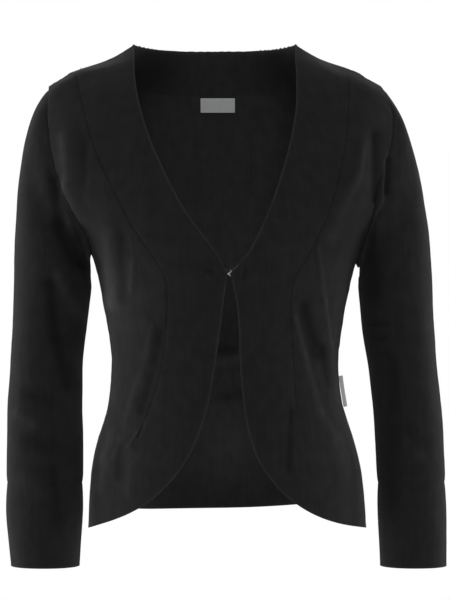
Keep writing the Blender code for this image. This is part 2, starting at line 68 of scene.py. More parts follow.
# Copies of the nodes' walls
MERGE = 0.00002
SHARP = math.radians(50)
SEAM_REACH = 0.0028
RIM_STEPS = 24
FREE_ROUND = 0.00075
SEAM_ROUND = 0.1
LABEL_ROUND = 0.3

# The figure's middle and half sizes, which give the outward direction of a place on it
MIDDLE_X = 0.010
HALF_WIDTH = 0.15
HALF_DEPTH = 0.095
CAP_CENTRE_Z = -0.16
SHOULDER_RISE = 0.13
ARMPIT_Z = -0.27
CUFF_MOUTH_Z = -0.58
# Mean radii that lay the cloth's map flat
BODY_RADIUS = 0.125
TUBE_RADIUS = 0.044
# Front creases fade to rear ones over this depth, with this share past the middle, and
# body turns into sleeve over this reach
DEPTH_FADE = 0.02
FRONT_SHARE = 0.35
ARMHOLE_FADE = 0.035
# Rings that give a tube's centre: the lowest, their step, half the height of each
AXIS_BOTTOM_Z = -0.60
AXIS_STEP = 0.02
AXIS_REACH = 0.012

# Body panels: node, material, levels, flat width, flat length, flat area
PANELS = (
    ("back", "Jersey", 2, 0.41, 0.52, 0.165),
    ("side_front_left", "Jersey", 3, 0.15, 0.50, 0.041),
    ("side_front_right", "Jersey", 3, 0.15, 0.50, 0.043),
    ("front_band_left", "Band jersey", 3, 0.16, 0.66, 0.043),
    ("front_band_right", "Band jersey", 3, 0.16, 0.66, 0.044),
    ("back_neckband", "Band jersey", 3, 0.37, 0.085, 0.021),
    ("back_hem_band", "Band jersey", 2, 0.42, 0.09, 0.026),
)
# Tubes: node, wearer's side, material, levels, flat width, flat length, flat area
TUBES = (
    ("sleeve_left", 1, "Jersey", 3, 0.36, 0.47, 0.13),
    ("sleeve_right", -1, "Jersey", 3, 0.36, 0.47, 0.13),
    ("cuff_left", 1, "Cuff jersey", 2, 0.27, 0.095, None),
    ("cuff_right", -1, "Cuff jersey", 2, 0.27, 0.095, None),
)
CLOTH = [row[0] for row in PANELS + TUBES]

# Creases seen from the front, on the front elevation in mm: x1, z1, x2, z2, half width, height
FRONT_CREASES = (
    # puff before the right armpit, and the trough beside it
    (-172, -108, -168, -164, 8.1, 2.2),
    (-168, -164, -156, -205, 8.1, 2.4),
    (-150, -110, -151, -159, 5.8, -1.0),
    (-187, -157, -179, -209, 7.0, -2.4),
    (-179, -209, -160, -252, 8.1, -2.8),
    # right sleeve down to the elbow
    (-182, -267, -157, -317, 5.8, 2.0),
    (-191, -278, -183, -342, 7.0, -1.8),
    (-183, -342, -171, -396, 7.0, -1.6),
    (-151, -259, -149, -296, 7.0, -1.2),
    # right sleeve, elbow to cuff
    (-217, -402, -192, -416, 9.0, -1.0),
    (-227, -428, -207, -441, 5.8, 1.6),
    (-214, -459, -182, -470, 10.5, -1.0),
    (-166, -407, -161, -449, 7.0, 1.1),
    (-221, -502, -202, -519, 8.1, 1.1),
    (-187, -491, -183, -551, 8.1, -1.3),
    # right bust and waist
    (-123, -222, -120, -300, 8.1, 2.0),
    (-124, -296, -117, -412, 7.0, 1.2),
    (-107, -222, -107, -296, 7.0, -1.3),
    (-93, -248, -97, -284, 3.2, 1.3),
    (-72, -326, -82, -373, 3.6, 0.9),
    (-86, -381, -98, -419, 3.6, 1.0),
    (-101, -427, -104, -447, 3.6, 0.8),
    (-62, -333, -69, -370, 5.4, -1.2),
    (-73, -384, -85, -424, 5.4, -1.2),
    # right lower front
    (-89, -449, -100, -466, 2.1, 1.1),
    (-107, -454, -118, -479, 2.8, 0.9),
    (-99, -467, -90, -477, 2.8, 0.8),
    (-119, -447, -129, -481, 4.1, 1.4),
    (-129, -481, -135, -519, 4.6, 1.2),
    (-111, -465, -113, -502, 4.6, -1.1),
    (-98, -477, -100, -519, 4.6, 0.9),
    # left armhole
    (185, -104, 186, -178, 6.0, -2.2),
    (197, -128, 192, -180, 3.2, 1.6),
    (192, -180, 169, -247, 3.2, 1.3),
    (201, -133, 199, -171, 3.5, -2.0),
    (190, -196, 182, -224, 4.6, -1.5),
    # left bust
    (170, -118, 167, -145, 4.6, 1.6),
    (164, -155, 152, -178, 6.0, 1.6),
    (146, -190, 134, -222, 8.1, 1.4),
    # left waist
    (119, -234, 127, -296, 2.6, 1.4),
    (127, -296, 135, -348, 2.2, 1.7),
    (135, -348, 142, -414, 2.6, 1.2),
    (103, -305, 118, -358, 8.1, -2.1),
    (92, -316, 103, -360, 3.5, 1.8),
    (103, -360, 121, -426, 3.9, 1.8),
    (121, -426, 141, -456, 4.6, 1.2),
    (141, -456, 151, -498, 5.8, 1.0),
    (125, -351, 132, -396, 5.8, -1.5),
    (88, -426, 86, -495, 3.5, -1.2),
    # left sleeve
    (178, -224, 184, -287, 9.3, -1.4),
    (172, -326, 200, -324, 2.8, -0.9),
    (173, -343, 199, -341, 2.8, -0.8),
    (183, -361, 200, -360, 3.5, -0.8),
    (206, -368, 207, -426, 8.1, -1.2),
    (206, -447, 206, -534, 9.3, -1.2),
    (221, -458, 237, -477, 5.8, 0.9),
    (223, -444, 229, -465, 4.6, -0.9),
    # beside the hook
    (-11, -262, -1, -264, 2.3, -0.9),
    (5, -267, 3, -276, 1.9, -0.7),
    (1, -259, 6, -271, 1.7, 0.6),
    (35, -260, 34, -273, 2.0, -0.9),
    (30, -259, 30, -274, 1.6, 0.5),
)
# Creases of the back and of the sleeves' rear, across x in mm
REAR_CREASES = (
    (-92, -322, -30, -340, 6.0, 1.4),
    (-84, -346, 20, -356, 7.0, -1.3),
    (-40, -372, 88, -362, 6.5, 1.3),
    (30, -336, 104, -322, 6.0, -1.2),
    (-98, -402, -20, -396, 7.0, 1.0),
    (10, -412, 112, -398, 7.0, -1.0),
    (-138, -238, -104, -168, 8.0, 1.8),
    (-122, -246, -92, -188, 6.0, -1.4),
    (152, -238, 120, -168, 8.0, 1.8),
    (136, -246, 108, -188, 6.0, -1.4),
    (-196, -140, -176, -212, 8.0, -1.8),
    (208, -140, 190, -212, 8.0, -1.8),
    (-226, -372, -176, -388, 7.0, -1.6),
    (-224, -398, -178, -410, 6.5, 1.5),
    (-228, -424, -184, -440, 7.5, -1.4),
    (238, -370, 192, -388, 7.0, -1.6),
    (240, -396, 196, -412, 6.5, 1.5),
    (242, -424, 202, -440, 7.5, -1.4),
)
# Stretches of the back neck edge that the linking stitches scallop: from x, to x in mm
SCALLOPS = ((-90, -70), (52, 88))
SCALLOP_PITCH = 4.6
SCALLOP_HEIGHT = 2.0
NECK_RISE = 0.0012

# Unevenness in m: slow and quick rumples, the pucker and the groove at a drawn seam, and
# the turn of a free edge
SLOW_REACH = 0.045
QUICK_REACH = 0.009
QUICK_HEIGHT = 0.00012
PUCKER_HEIGHT = 0.0004
PUCKER_REACH = 0.007
GROOVE_REACH = 0.0016
TURN_HEIGHT = 0.0004

# Marks on the cloth: how far the turn of a free edge and the line of a seam reach
EDGE_REACH = 0.0016
SEAM_WIDTH = 0.0009
# The seams at the fronts show down to here: right, left
DRAWN_END_Z = (-0.452, -0.418)
# Painted light and shade: how much lighter the cloth is painted for each mm a crease stands out
PAINTED_FOLD_SHADE = 0.3
PAINTED_FOLD_LIMITS = (0.35, 2.2)
# The inner, purl side is painted lighter by this share: its own tone and painted light
PURL_TONE_AND_PAINTED_LIGHT = 2.0
# Painted light and shade over broad areas, on the front elevation in mm: x, z, reach across,
# reach down, change. Here painted highlights on the tops of the two shoulders
PAINTED_HIGHLIGHTS = (
    (-118, -35, 40, 22, 0.5),
    (115, -30, 40, 22, 0.5),
)
# Painted shade inside, the same way: the neckband's two corners, and the hem below the fronts
PAINTED_INNER_SHADE = (
    (-70, -28, 30, 32, -0.5),
    (76, -28, 25, 32, -0.4),
    (12, -530, 95, 42, -0.6),
)
# Painted light: the body below the armpits is lighter the more it turns to the side: right, left
PAINTED_SIDE_LIGHT = (9.5, 4.6)
SIDE_POWER = 3.3
SIDE_TOP_Z = -0.22
SIDE_FADE = 0.08

# Seam allowances inside the garment
STRIP_HALF = 0.0030
STRIP_THICKNESS = 0.0009
STRIP_CLEAR = 0.0002
STRIP_CLOSING = 0.015
# A wall's face is an inner one when its normal runs this far against the outward direction
INWARD = -0.4

# Knits: brightness, roughness, scale of the stitches
KNITS = {
    "Jersey": (1.0, 0.86, 1.0),
    "Band jersey": (0.97, 0.84, 0.95),
    "Cuff jersey": (1.0, 0.86, 0.95),
    "Overlock": (0.85, 0.9, 1.5),
}
# Unevenness of the yarn: spots a metre, across and along the cloth, and their contrast
STREAK = (420, 14, 1)
BLOTCH = (95, 60, 1)
STREAK_SHARE = 0.35
YARN_CONTRAST = 1.5
# Loose fibres, fine and coarse: tufts a metre, share of the height
FUZZ = ((900.0, 0.5), (170.0, 0.7))
# Fine relief: strength, height in m
KNIT_RELIEF = (0.4, 0.0003)
SATIN_RELIEF = (0.35, 0.0001)
# A painted highlight along a turned edge, and a sewn line, next to the yarn
PAINTED_EDGE_HIGHLIGHT = 2.8
SEAM_DARK = 0.35
# Floats of the labels' satin, in radians a metre
SATIN_ROWS = 9000.0

# Knot between the band edges and over the hook, in mm: its middle, its reach, its tail, and
# the end of the thread on the left band
KNOT = Vector((15.9, -112.4, -266.6))
KNOT_REACH = Vector((19.4, -114.2, -263.6))
KNOT_TAIL = Vector((18.2, -112.8, -269.4))
THREAD_END = Vector((27.3, -115.3, -256.6))
KNOT_RADIUS = 1.05
KNOT_SHAPE = (1.2, 0.7, 0.85)
WIRE_RADIUS = 0.38
THREAD_RADIUS = 0.3
ROD_SIDES = 16
ROD_ROUND = 0.2
# The hook's shank is bound with black thread up to here, in m across the front
BINDING_END_X = 0.0178
BARE_ALL = -1.0
BINDING_COLOUR = (0.012, 0.012, 0.0125)
# Wires: node, brightness, metallic, bare from. The knot: brightness, metallic
WIRES = (
    ("hook", 0.62, 1.0, BINDING_END_X),
    ("eye", 0.03, 0.4, BARE_ALL),
)
KNOT_FINISH = (0.85, 0.6)
THREAD_COLOURS = ((0.05, 0.05, 0.052), (0.09, 0.09, 0.095))

# Studio: name, place, size in m, power in W
LIGHTS = (
    ("front softbox", (0, -4.2, 0.9), 1.8, 24),
    ("top softbox", (0, -1.9, 3.0), 1.6, 26),
    ("left softbox", (-3.0, 0.2, -0.1), 1.5, 39),
    ("right softbox", (3.0, 0.2, -0.1), 1.5, 17),
    ("left front softbox", (-3.0, -1.2, 0.0), 1.5, 9),
    ("right front softbox", (3.0, -1.2, 0.0), 1.5, 15),
    ("left rear softbox", (-2.6, 1.6, 0.2), 1.5, 13),
    ("right rear softbox", (2.6, 1.6, 0.2), 1.5, 18),
    ("rear softbox", (0, 3.6, 1.8), 1.8, 30),
)
FLOOR_RADIUS = 3.6
FLOOR_Z = -1.36
# The white surround, as the garment and as the camera see it
SURROUND = (0.06, 1.0)


class CardiganLooks(bpy.types.PropertyGroup):
    """Sizes and colours of the knit and the labels."""

    knit_colour: FloatVectorProperty(
        name="Knit colour", description="Yarn colour of the body, sleeves and bands",
        subtype="COLOR", size=4, min=0, max=1, default=(0.0118, 0.0116, 0.0121, 1),
    )
    label_colour: FloatVectorProperty(
        name="Label colour", description="Satin of the neck label",
        subtype="COLOR", size=4, min=0, max=1, default=(0.78, 0.79, 0.80, 1),
    )
    care_colour: FloatVectorProperty(
        name="Care label colour", description="Satin of the side seam label",
        subtype="COLOR", size=4, min=0, max=1, default=(0.78, 0.78, 0.77, 1),
    )
    wale: FloatProperty(
        name="Wale width", description="Width of one column of stitches",
        subtype="DISTANCE", default=0.0013, min=0.0005, max=0.006,
    )
    course: FloatProperty(
        name="Course height", description="Height of one row of stitches",
        subtype="DISTANCE", default=0.0010, min=0.0004, max=0.005,
    )
    crease: FloatProperty(
        name="Crease strength", description="Scale of the creases laid into the cloth",
        default=1.25, min=0, max=3,
    )
    rumple: FloatProperty(
        name="Rumple", description="Height of the slow unevenness of the hanging cloth",
        subtype="DISTANCE", default=0.0008, min=0, max=0.005,
    )
    groove: FloatProperty(
        name="Seam groove", description="How far the cloth dips along a seam",
        subtype="DISTANCE", default=0.0004, min=0, max=0.002,
    )


def looks():
    return bpy.context.scene.cardigan_looks


# ---------------------------------------------------------------- materials


def maths(tree, operation, a, b=None):
    node = tree.nodes.new("ShaderNodeMath")
    node.operation = operation
    for place, value in enumerate((a, b)):
        if value is None:
            continue
        if isinstance(value, (int, float)):
            node.inputs[place].default_value = value
        else:
            tree.links.new(value, node.inputs[place])
    return node.outputs[0]


def noise_node(tree, vector, scale, detail, dimensions="3D"):
    node = tree.nodes.new("ShaderNodeTexNoise")
    node.noise_dimensions = dimensions
    node.inputs["Scale"].default_value = scale
    node.inputs["Detail"].default_value = detail
    tree.links.new(vector, node.inputs["Vector"])
    return node.outputs["Fac"]


def stretched(tree, vector, scale):
    node = tree.nodes.new("ShaderNodeVectorMath")
    node.operation = "MULTIPLY"
    node.inputs[1].default_value = scale
    tree.links.new(vector, node.inputs[0])
    return node.outputs[0]


def new_material(name):
    """An empty material, its tree and its shader."""
    material = bpy.data.materials.new(name)
    material.use_nodes = True
    tree = material.node_tree
    return material, tree, tree.nodes["Principled BSDF"]


def tinted(colour, share):
    return [min(channel * share, 1) for channel in colour[:3]]


def blended(tree, share, low, high):
    """A colour between two others. Each is a plain colour or a socket."""
    node = tree.nodes.new("ShaderNodeMix")
    node.data_type = "RGBA"
    tree.links.new(share, node.inputs[0])
    for place, colour in ((6, low), (7, high)):
        if isinstance(colour, (tuple, list)):
            node.inputs[place].default_value = (*colour, 1)
        else:
            tree.links.new(colour, node.inputs[place])
    return node.outputs[2]


def ranged(tree, value, low, high):
    """The value, which runs from 0 to 1, spread from low to high."""
    node = tree.nodes.new("ShaderNodeMapRange")
    node.inputs["To Min"].default_value = low
    node.inputs["To Max"].default_value = high
    tree.links.new(value, node.inputs["Value"])
    return node.outputs[0]


def bumped(tree, shader, relief, strength, distance):
    bump = tree.nodes.new("ShaderNodeBump")
    bump.inputs["Strength"].default_value = strength
    bump.inputs["Distance"].default_value = distance
    tree.links.new(relief, bump.inputs["Height"])
    tree.links.new(bump.outputs[0], shader.inputs["Normal"])


def group(name, inputs, outputs):
    """An empty node group with its sockets, or None if it has been made."""
    if name in bpy.data.node_groups:
        return None
    tree = bpy.data.node_groups.new(name, "ShaderNodeTree")
    for socket, kind in inputs:
        tree.interface.new_socket(name=socket, in_out="INPUT", socket_type=kind)
    for socket in outputs:
        tree.interface.new_socket(name=socket, in_out="OUTPUT", socket_type="NodeSocketFloat")
    return tree


def jersey_group():
    """Columns of V-shaped stitches. Puts out their height and a slightly uneven yarn tone, painted
    darker in the stitches' hollows.
    """
    inputs = (
        ("Cloth", "NodeSocketVector"),
        ("Wale", "NodeSocketFloat"),
        ("Course", "NodeSocketFloat"),
    )
    tree = group("Jersey stitches", inputs, ("Height", "Tone and painted shading"))
    if tree is None:
        return bpy.data.node_groups["Jersey stitches"]
    start = tree.nodes.new("NodeGroupInput")
    end = tree.nodes.new("NodeGroupOutput")
    split = tree.nodes.new("ShaderNodeSeparateXYZ")
    tree.links.new(start.outputs["Cloth"], split.inputs[0])
    across = maths(tree, "DIVIDE", split.outputs[0], start.outputs["Wale"])
    along = maths(tree, "DIVIDE", split.outputs[1], start.outputs["Course"])
    column = maths(tree, "ABSOLUTE", maths(tree, "SUBTRACT", maths(tree, "FRACT", across), 0.5))
    slanted = maths(tree, "FRACT", maths(tree, "ADD", along, maths(tree, "MULTIPLY", column, 1.5)))
    leg = maths(tree, "SINE", maths(tree, "MULTIPLY", slanted, math.pi))
    rib = maths(tree, "SINE", maths(tree, "MULTIPLY", column, math.tau))
    height = maths(tree, "MULTIPLY", maths(tree, "POWER", leg, 0.6), maths(tree, "POWER", rib, 0.5))
    tree.links.new(height, end.inputs["Height"])
    cloth = start.outputs["Cloth"]
    streak = noise_node(tree, stretched(tree, cloth, STREAK), 1.0, 2.0, "2D")
    blotch = noise_node(tree, stretched(tree, cloth, BLOTCH), 1.0, 4.0, "2D")
    streak = maths(tree, "MULTIPLY", streak, STREAK_SHARE)
    blotch = maths(tree, "MULTIPLY", blotch, 1 - STREAK_SHARE)
    uneven = maths(tree, "SUBTRACT", maths(tree, "ADD", streak, blotch), 0.5)
    yarn = maths(tree, "ADD", maths(tree, "MULTIPLY", uneven, YARN_CONTRAST), 0.5)
    # Painted shade: the yarn is darker in the hollows between the stitches
    hollow_shade = maths(tree, "ADD", maths(tree, "MULTIPLY", height, 0.3), 0.7)
    tree.links.new(maths(tree, "MULTIPLY", yarn, hollow_shade), end.inputs["Tone and painted shading"])
    return tree


def fuzz_group():
    """Short loose fibres standing off the yarn. Puts out their height."""
    tree = group("Knit fuzz", (("Place", "NodeSocketVector"),), ("Height",))
    if tree is None:
        return bpy.data.node_groups["Knit fuzz"]
    start = tree.nodes.new("NodeGroupInput")
    end = tree.nodes.new("NodeGroupOutput")
    fine, coarse = (
        maths(tree, "MULTIPLY", noise_node(tree, start.outputs["Place"], tufts, 3.0), share)
        for tufts, share in FUZZ
    )
    tree.links.new(maths(tree, "ADD", fine, coarse), end.inputs["Height"])
    return tree


def mixed_by_mark(tree, mark, colour, marked):
    """The colour, turned to another where the mark on the cloth is full."""
    attribute = tree.nodes.new("ShaderNodeAttribute")
    attribute.attribute_name = mark
    return blended(tree, attribute.outputs["Fac"], colour, marked)


def knit_material(name):
    """Fine black jersey: stitches on the cloth's own map, uneven yarn, a soft nap and painted light and
    shade.
    """
    if name in bpy.data.materials:
        return bpy.data.materials[name]
    brightness, roughness, scale = KNITS[name]
    material, tree, shader = new_material(name)
    cloth_map = tree.nodes.new("ShaderNodeUVMap")
    cloth_map.uv_map = "Cloth"
    stitches = tree.nodes.new("ShaderNodeGroup")
    stitches.node_tree = jersey_group()
    tree.links.new(cloth_map.outputs[0], stitches.inputs["Cloth"])
    stitches.inputs["Wale"].default_value = looks().wale * scale
    stitches.inputs["Course"].default_value = looks().course * scale
    yarn = tinted(looks().knit_colour, brightness)
    colour = blended(tree, stitches.outputs["Tone and painted shading"], tinted(yarn, 0.75), tinted(yarn, 1.4))
    # Painted light and shade, with the purl side's tone, scale the yarn's colour
    painted_shading = tree.nodes.new("ShaderNodeAttribute")
    painted_shading.attribute_name = "Tone and painted shading"
    shaded = tree.nodes.new("ShaderNodeVectorMath")
    shaded.operation = "SCALE"
    tree.links.new(colour, shaded.inputs[0])
    tree.links.new(painted_shading.outputs["Fac"], shaded.inputs["Scale"])
    # Painted highlight along the free edges, where a turned edge catches the light
    edge = mixed_by_mark(tree, "Edge", shaded.outputs[0], tinted(yarn, PAINTED_EDGE_HIGHLIGHT))
    seam = mixed_by_mark(tree, "Seam", edge, tinted(yarn, SEAM_DARK))
    tree.links.new(seam, shader.inputs["Base Color"])
    rough = ranged(tree, stitches.outputs["Tone and painted shading"], roughness + 0.08, roughness - 0.08)
    tree.links.new(rough, shader.inputs["Roughness"])
    where = tree.nodes.new("ShaderNodeTexCoord")
    fuzz = tree.nodes.new("ShaderNodeGroup")
    fuzz.node_tree = fuzz_group()
    tree.links.new(where.outputs["Object"], fuzz.inputs[0])
    relief = maths(tree, "ADD", stitches.outputs["Height"], fuzz.outputs["Height"])
    bumped(tree, shader, relief, *KNIT_RELIEF)
    shader.inputs["Sheen Weight"].default_value = 0.08
    shader.inputs["Sheen Roughness"].default_value = 0.45
    shader.inputs["Sheen Tint"].default_value = (0.94, 0.95, 1.0, 1)
    shader.inputs["Specular IOR Level"].default_value = 0.25
    return material


def satin_material(name, colour):
    """Woven satin tape with fine crosswise floats."""
    material, tree, shader = new_material(name)
    where = tree.nodes.new("ShaderNodeTexCoord").outputs["Object"]
    split = tree.nodes.new("ShaderNodeSeparateXYZ")
    tree.links.new(where, split.inputs[0])
    rib = maths(tree, "SINE", maths(tree, "MULTIPLY", split.outputs[2], SATIN_ROWS))
    grain = noise_node(tree, where, 900.0, 3.0)
    mixed = blended(tree, grain, tinted(colour, 0.86), tinted(colour, 1.10))
    tree.links.new(mixed, shader.inputs["Base Color"])
    relief = maths(tree, "ADD", rib, maths(tree, "MULTIPLY", grain, 0.8))
    bumped(tree, shader, relief, *SATIN_RELIEF)
    shader.inputs["Roughness"].default_value = 0.5
    shader.inputs["Sheen Weight"].default_value = 0.15
    return material


def wire_material(name, colour, metallic, bare_from=BARE_ALL):
    """Drawn wire with fine scratches in its finish, bound with black thread up to bare_from."""
    material, tree, shader = new_material(name)
    where = tree.nodes.new("ShaderNodeTexCoord").outputs["Object"]
    split = tree.nodes.new("ShaderNodeSeparateXYZ")
    tree.links.new(where, split.inputs[0])
    scratch = noise_node(tree, where, 1500.0, 4.0)
    wire = blended(tree, scratch, (colour * 0.85, colour * 0.85, colour * 0.87), (colour,) * 3)
    bare = maths(tree, "GREATER_THAN", split.outputs[0], bare_from)
    tree.links.new(blended(tree, bare, BINDING_COLOUR, wire), shader.inputs["Base Color"])
    tree.links.new(maths(tree, "MULTIPLY", bare, metallic), shader.inputs["Metallic"])
    tree.links.new(ranged(tree, scratch, 0.22, 0.42), shader.inputs["Roughness"])
    return material


def thread_material():
    """Grey twisted sewing thread."""
    material, tree, shader = new_material("Sewing thread")
    where = tree.nodes.new("ShaderNodeTexCoord").outputs["Object"]
    twist = noise_node(tree, where, 2500.0, 2.0)
    tree.links.new(blended(tree, twist, *THREAD_COLOURS), shader.inputs["Base Color"])
    shader.inputs["Roughness"].default_value = 0.6
    return material


# ---------------------------------------------------------------- copies of the cloth nodes


def deselect():
    if bpy.context.mode != "OBJECT":
        bpy.ops.object.mode_set(mode="OBJECT")
    bpy.ops.object.select_all(action="DESELECT")


def activate(piece):
    deselect()
    piece.select_set(True)
    bpy.context.view_layer.objects.active = piece


def apply_modifier(piece, modifier):
    activate(piece)
    bpy.ops.object.modifier_apply(modifier=modifier.name)


def node_copy(node, name):
    """A new piece with the node's shape, its loose triangles merged into quads."""
    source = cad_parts[node]
    mesh = source.data.copy()
    mesh.transform(source.matrix_world)
    mesh.materials.clear()
    piece = bpy.data.objects.new(name, mesh)
    bpy.context.scene.collection.objects.link(piece)
    activate(piece)
    bpy.ops.object.mode_set(mode="EDIT")
    bpy.ops.mesh.select_all(action="SELECT")
    bpy.ops.mesh.remove_doubles(threshold=MERGE)
    bpy.ops.mesh.tris_convert_to_quads(
        face_threshold=math.radians(40), shape_threshold=math.radians(60),
    )
    bpy.ops.object.mode_set(mode="OBJECT")
    return piece


def cloth_piece(node):
    return bpy.data.objects[f"{node}_cloth"]


def seamed(one, other):
    """Whether two nodes are sewn to each other. A sleeve only lies inside its cuff."""
    kinds = {one.split("_")[0], other.split("_")[0]}
    return one != other and "cuff" not in kinds


def close_seams():
    """Brings the facing rims of neighbours together. Gives each sewn corner's neighbour."""
    spans = []
    points = []
    corners = []
    for node in CLOTH:
        piece = cloth_piece(node)
        edges = rims(piece)
        for _, a, b in edges:
            start = piece.data.vertices[a].co.copy()
            end = piece.data.vertices[b].co.copy()
            for i in range(RIM_STEPS + 1):
                spans.append((node, start, end))
                points.append(start.lerp(end, i / RIM_STEPS))
        on_rims = {corner for edge in edges for corner in edge[1:]}
        corners += [(node, index) for index in sorted(on_rims)]
    tree = near_tree(points)
    sewn = {node: {} for node in CLOTH}
    moves = []
    for node, index in corners:
        co = cloth_piece(node).data.vertices[index].co
        found = tree.find_range(co, SEAM_REACH)
        near = [(distance, i) for _, i, distance in found if seamed(node, spans[i][0])]
        if near:
            other, start, end = spans[min(near)[1]]
            along = min(max(intersect_point_line(co, start, end)[1], 0), 1)
            moves.append((node, index, (co + start.lerp(end, along)) / 2))
            sewn[node][index] = other
    for node, index, co in moves:
        cloth_piece(node).data.vertices[index].co = co
    return sewn


def rims(piece):
    """The sharp edges between a wall's faces and its rim, as pairs of corners."""
    shell = bmesh.new()
    shell.from_mesh(piece.data)
    found = []
    for edge in shell.edges:
        if len(edge.link_faces) == 2 and edge.calc_face_angle() > SHARP:
            found.append((edge.index, edge.verts[0].index, edge.verts[1].index))
    shell.free()
    return found


def weigh_rims(piece, sewn):
    """Free edges are rounded fully, and seams a little."""
    edges = rims(piece)
    weights = piece.data.attributes.new("bevel_weight_edge", "FLOAT", "EDGE")
    for index, a, b in edges:
        weights.data[index].value = SEAM_ROUND if a in sewn and b in sewn else 1.0
    return edges


def smooth_wall(piece, levels):
    """Rounds the weighted rims, then the whole wall."""
    rim = piece.modifiers.new("rim", "BEVEL")
    rim.width = FREE_ROUND
    rim.segments = 2
    rim.limit_method = "WEIGHT"
    apply_modifier(piece, rim)
    surface = piece.modifiers.new("surface", "SUBSURF")
    surface.levels = levels
    surface.render_levels = levels
    apply_modifier(piece, surface)
    activate(piece)
    bpy.ops.object.shade_smooth()


# ---------------------------------------------------------------- hang of the cloth


def near_tree(points):
    tree = KDTree(len(points))
    for i, co in enumerate(points):
        tree.insert(co, i)
    tree.balance()
    return tree


def distances(tree, places):
    return np.array([tree.find(place)[2] for place in places])


def relief(x, z, creases):
    """How far the creases near each place stand out, in mm."""
    total = np.zeros_like(x)
    for x1, z1, x2, z2, half_width, height in creases:
        run_x = x2 - x1
        run_z = z2 - z1
        along = ((x - x1) * run_x + (z - z1) * run_z) / (run_x**2 + run_z**2)
        along = np.clip(along, 0, 1)
        away = np.hypot(x - x1 - run_x * along, z - z1 - run_z * along)
        total += height * np.exp(-((away / half_width) ** 2))
    return total


def eased(value):
    value = np.clip(value, 0, 1)
    return value * value * (3 - 2 * value)


def torso_outward(places):
    """Level round the body, and turning up over the shoulders."""
    outward = np.zeros_like(places)
    outward[:, 0] = (places[:, 0] - MIDDLE_X) / HALF_WIDTH**2
    outward[:, 1] = places[:, 1] / HALF_DEPTH**2
    outward[:, 2] = np.maximum(places[:, 2] - CAP_CENTRE_Z, 0) ** 3 / SHOULDER_RISE**4
    return outward / np.maximum(np.linalg.norm(outward, axis=1), 1e-9)[:, None]


class Hang:
    """Moves places on the cloth by its creases, seams, rumples and edge turns."""

    def __init__(self, drawn, armholes, free):
        self.drawn = near_tree(drawn)
        self.armholes = near_tree(armholes)
        self.free = near_tree(free)

    def lay(self, piece, axis=None):
        """Moves the piece's cloth, and marks its free edges, its drawn seams and the light and shade
        painted into it.
        """
        places = get_places(piece.data)
        free = distances(self.free, places)
        outward, depth = self.outward(places, axis)
        normals = np.empty(len(places) * 3, np.float32)
        piece.data.vertices.foreach_get("normal", normals)
        facing = np.einsum("ij,ij->i", normals.reshape(-1, 3), outward)
        front = seen_from_front(places)
        purl = np.clip(0.5 - 2 * facing, 0, 1)
        # The inner side is painted lighter: partly the purl's own tone, partly painted light for its
        # shade
        shade = 1 + PURL_TONE_AND_PAINTED_LIGHT * purl
        if axis is None:
            # Painted light on the body's sides below the armpits, stronger the more they turn to the
            # side
            turned = np.where(outward[:, 0] < 0, *PAINTED_SIDE_LIGHT) * np.abs(outward[:, 0]) ** SIDE_POWER
            shade *= 1 + turned * eased((SIDE_TOP_Z - places[:, 2]) / SIDE_FADE)
        # Painted highlights on the shoulders' tops, and painted shade in the neckband's corners and the
        # hem
        for areas, weight in ((PAINTED_HIGHLIGHTS, eased(-depth / DEPTH_FADE + 1)), (PAINTED_INNER_SHADE, purl)):
            for x, z, reach_x, reach_z, change in areas:
                near = np.exp(-(((front[0] - x) / reach_x) ** 2) - ((front[1] - z) / reach_z) ** 2)
                shade *= 1 + change * near * weight
        folds = self.folds(places, depth, front)
        # Painted light on the creases' crests and painted shade in their troughs
        shade *= np.clip(1 + PAINTED_FOLD_SHADE * folds / MM, *PAINTED_FOLD_LIMITS)
        write_mark(piece, "Edge", np.exp(-((free / EDGE_REACH) ** 2)))
        write_mark(piece, "Seam", np.exp(-((distances(self.drawn, places) / SEAM_WIDTH) ** 2)))
        # The painted light and shade, with the purl side's tone, go into the cloth's colour
        write_mark(piece, "Tone and painted shading", shade)
        lift = folds + self.unevenness(places, free)
        set_places(piece.data, places + outward * lift[:, None])

    def outward(self, places, axis):
        """The direction out of the form at each place, and how far behind its middle it is."""
        outward = torso_outward(places)
        depth = places[:, 1].copy()
        if axis is not None:
            centre = np.stack([np.interp(places[:, 2], axis[:, 0], axis[:, i]) for i in (1, 2)], 1)
            radial = places.copy()
            radial[:, :2] -= centre
            radial[:, 2] = np.maximum(places[:, 2] - CAP_CENTRE_Z, 0)
            radial /= np.maximum(np.linalg.norm(radial, axis=1), 1e-9)[:, None]
            apart = eased(distances(self.armholes, places) / ARMHOLE_FADE)
            apart = np.where(places[:, 2] < ARMPIT_Z, 1.0, apart)
            outward = outward * (1 - apart)[:, None] + radial * apart[:, None]
            outward /= np.maximum(np.linalg.norm(outward, axis=1), 1e-9)[:, None]
            depth -= centre[:, 1] * apart
        return outward, depth

    def folds(self, places, depth, front):
        """How far the creases stand out at each place."""
        lift = relief(*front, FRONT_CREASES) * eased(-depth / DEPTH_FADE + FRONT_SHARE) * MM
        rear = relief(places[:, 0] / MM, places[:, 2] / MM, REAR_CREASES)
        lift += rear * eased(depth / DEPTH_FADE) * MM
        return lift * looks().crease

    def unevenness(self, places, free):
        """How far the cloth stands out for its rumples, drawn seams and turned edges."""
        seam = distances(self.drawn, places)
        slow = np.array([noise.noise(Vector(place) / SLOW_REACH) for place in places])
        quick = np.array([noise.noise(Vector(place) / QUICK_REACH) for place in places])
        lift = looks().rumple * slow + QUICK_HEIGHT * quick
        lift += PUCKER_HEIGHT * quick * np.exp(-((seam / PUCKER_REACH) ** 2))
        lift -= looks().groove * np.exp(-((seam / GROOVE_REACH) ** 2))
        return lift + TURN_HEIGHT * np.exp(-((free / EDGE_REACH) ** 2))


